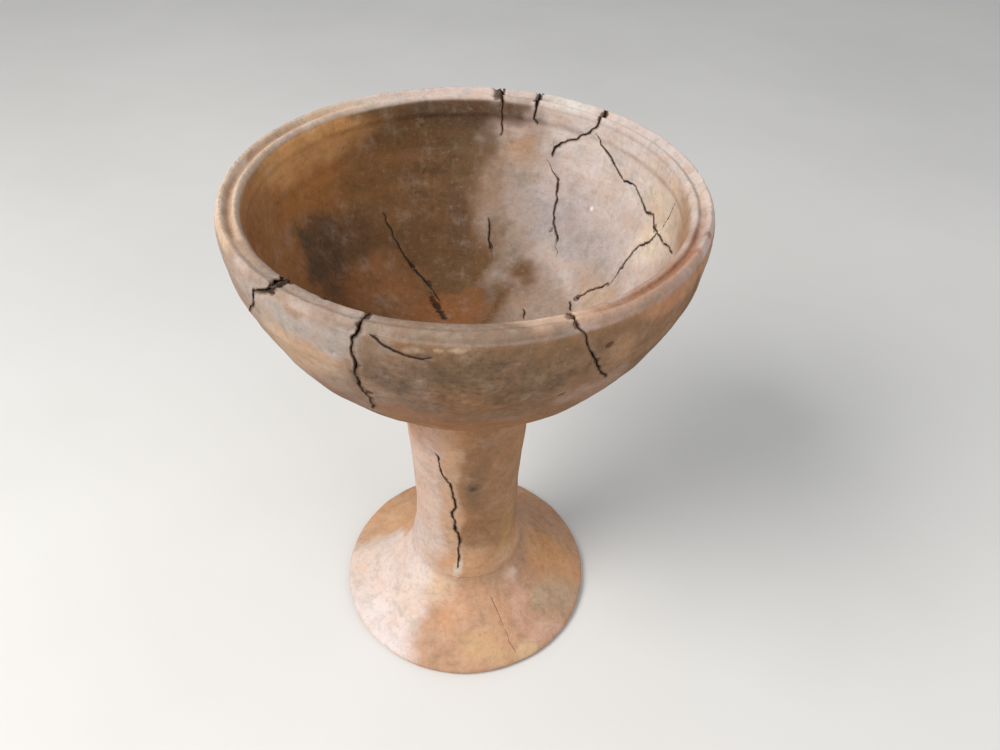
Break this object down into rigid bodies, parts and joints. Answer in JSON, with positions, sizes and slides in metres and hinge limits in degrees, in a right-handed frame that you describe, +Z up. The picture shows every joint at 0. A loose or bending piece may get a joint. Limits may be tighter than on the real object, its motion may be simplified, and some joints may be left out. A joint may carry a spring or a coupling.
{
  "type": "pedestal bowl",
  "caption": "Fired-clay bowl with a grooved rim on a hollow stem and spreading foot, broken and joined again from separate sherds.",
  "frame": {"origin": "on the floor, under the middle of the foot", "axes": "+Z up along the stem, -Y towards the side with the long open break in the bowl and the stem, +X to the right of it"},
  "size_m": [0.2546, 0.2546, 0.3377],
  "materials": {
    "clay_ochre": "unglazed fired clay, ochre brown, matte",
    "clay_sooty": "unglazed fired clay, grey-brown with soot, matte",
    "clay_buff": "unglazed fired clay, grey buff, matte",
    "clay_rosy": "unglazed fired clay, rosy buff, matte",
    "clay_orange": "unglazed fired clay, orange brown, matte",
    "clay_pale": "unglazed fired clay, pale pink with bloom, matte"
  },
  "bodies": {
    "root": {"rim_front": "clay_sooty", "rim_front_left": "clay_ochre", "wall_left": "clay_ochre", "wall_front_right": "clay_ochre", "rim_right": "clay_rosy", "wall_back_right": "clay_buff", "rim_back_right": "clay_buff", "wall_back": "clay_buff", "bowl_base": "clay_orange", "stem_left": "clay_pale", "stem_right": "clay_sooty", "foot_left": "clay_pale", "foot_front": "clay_orange", "foot_right": "clay_ochre"}
  },
  "joints": []
}
